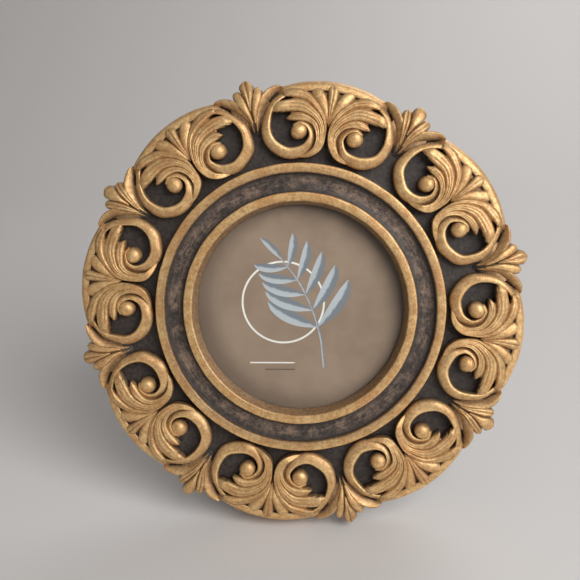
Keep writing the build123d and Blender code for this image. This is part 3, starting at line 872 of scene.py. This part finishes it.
def hardware(steel):
    """Slotted screws and domed rivets in place of the plain ones, each a head and a shank that enters it.
    Every slot stands at an angle of its own."""
    places = [(BUTTON_R * sin(radians(a)), BUTTON_R * cos(radians(a)), 70 + 1.7 * a) for a in BUTTON_DIRS]
    screw = slotted_head(), button(0, 0, SCREW_R, SCREW_SEAT + SHANK_LAP, -SCREW_DEPTH, 0)
    screws = [behind(patch, *place) for place in places for patch in screw]
    board_rivet = [behind(patch, 0, HINGE_UP + RIVET_ALONG, 0) for patch in rivet(*BOARD_FACES)]
    leg_rivet = [
        behind(patch, 0, HINGE_UP - RIVET_ALONG, 0, (HINGE_UP, HINGE_Z)) for patch in rivet(*LEG_FACES)
    ]
    for name, patches, node, body in (
        ("slotted_screws", screws, "turn_button_screws", "frame"),
        ("domed_rivet_board", board_rivet, "hinge_rivet_board", "frame"),
        ("domed_rivet_leg", leg_rivet, "hinge_rivet_leg", "easel_leg"),
    ):
        made = carving(name, patches, steel)
        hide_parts(node)
        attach(made, body)


def finish_nodes(steel):
    """Finishes for the CAD nodes that keep their own form: nickel, unless the node is paper or board."""
    flock = flocked()
    finishes = {
        "photo_card": card_stock(),
        "filler_pad": grey_board(),
        "back_board": flock,
        "easel_leg": flock,
    }
    for name, node in frame["nodes"].items():
        if name not in ("frame_casting", "glass_pane"):
            node.data.materials.clear()
            node.data.materials.append(finishes.get(name, steel))


def backdrop():
    """A plain pale table top that sweeps up behind the object: a floor, a quarter round and a wall, as one
    profile of depth and height carried sideways."""
    bend = np.linspace(0, pi / 2, SWEEP_STEPS)
    depth = np.concatenate([(-BACKDROP_REACH,), SWEEP_Y + SWEEP_R * np.sin(bend), (SWEEP_Y + SWEEP_R,)])
    height = np.concatenate([(0.0,), SWEEP_R * (1 - np.cos(bend)), (WALL_TOP,)])
    side = np.array((-BACKDROP_REACH, BACKDROP_REACH))[:, None]
    points = np.stack([side + 0 * depth, depth + 0 * side, height + 0 * side], -1).reshape(-1, 3)
    n = np.arange(len(points)).reshape(2, -1)
    quads = np.stack([n[0, :-1], n[1, :-1], n[1, 1:], n[0, 1:]], -1)
    mesh = bpy.data.meshes.new("backdrop")
    mesh.from_pydata(points.tolist(), [], quads.tolist())
    mesh.polygons.foreach_set("use_smooth", np.ones(len(mesh.polygons), bool))
    f = Finish("backdrop", Roughness=0.7, Specular_IOR_Level=0.2)
    f.set("Base Color", BACKDROP_GREY)
    mesh.materials.append(f.material)
    made = bpy.data.objects.new("backdrop", mesh)
    bpy.context.scene.collection.objects.link(made)


def world():
    """Even grey light from all round."""
    made = bpy.data.worlds.new("studio")
    made.use_nodes = True
    made.node_tree.nodes["Background"].inputs["Color"].default_value = STUDIO_GREY
    made.node_tree.nodes["Background"].inputs["Strength"].default_value = WORLD_STRENGTH
    bpy.context.scene.world = made


def camera():
    """Stands off from a point on the face by azimuth, elevation and distance, with a slight roll."""
    azimuth, elevation, roll = radians(3.76), radians(22.15), radians(-1.5)
    distance = 241.8
    target = np.array((-3.28 * MM, CENTRE[1], 67.3 * MM))
    back = np.array((sin(azimuth) * cos(elevation), -cos(azimuth) * cos(elevation), sin(elevation)))
    right = np.cross(-back, (0, 0, 1))
    right = right / np.linalg.norm(right)
    up = np.cross(back, right)
    right, up = cos(roll) * right + sin(roll) * up, cos(roll) * up - sin(roll) * right
    data = bpy.data.cameras.new("camera")
    data.lens = 50
    data.sensor_width = 36
    data.clip_start = 0.01
    made = bpy.data.objects.new("camera", data)
    place = np.column_stack([right, up, back, target + back * distance * MM])
    made.matrix_world = Matrix(np.vstack([place, (0, 0, 0, 1)]).tolist())
    bpy.context.scene.collection.objects.link(made)
    bpy.context.scene.camera = made


def soft_light(name, place, size, power):
    """A round soft lamp that faces the middle of the frame."""
    lamp = bpy.data.lights.new(name, "AREA")
    lamp.shape = "DISK"
    lamp.size = size
    lamp.energy = power
    made = bpy.data.objects.new(name, lamp)
    made.location = place
    made.rotation_euler = (Vector(LAMP_AIM) - Vector(place)).to_track_quat("-Z", "Y").to_euler()
    bpy.context.scene.collection.objects.link(made)


gilded_front(antique_gold())
card_art()
pane()
steel = nickel()
hardware(steel)
finish_nodes(steel)
backdrop()
world()
camera()
for lamp in LAMPS:
    soft_light(*lamp)
bpy.context.scene.view_settings.view_transform = "Standard"
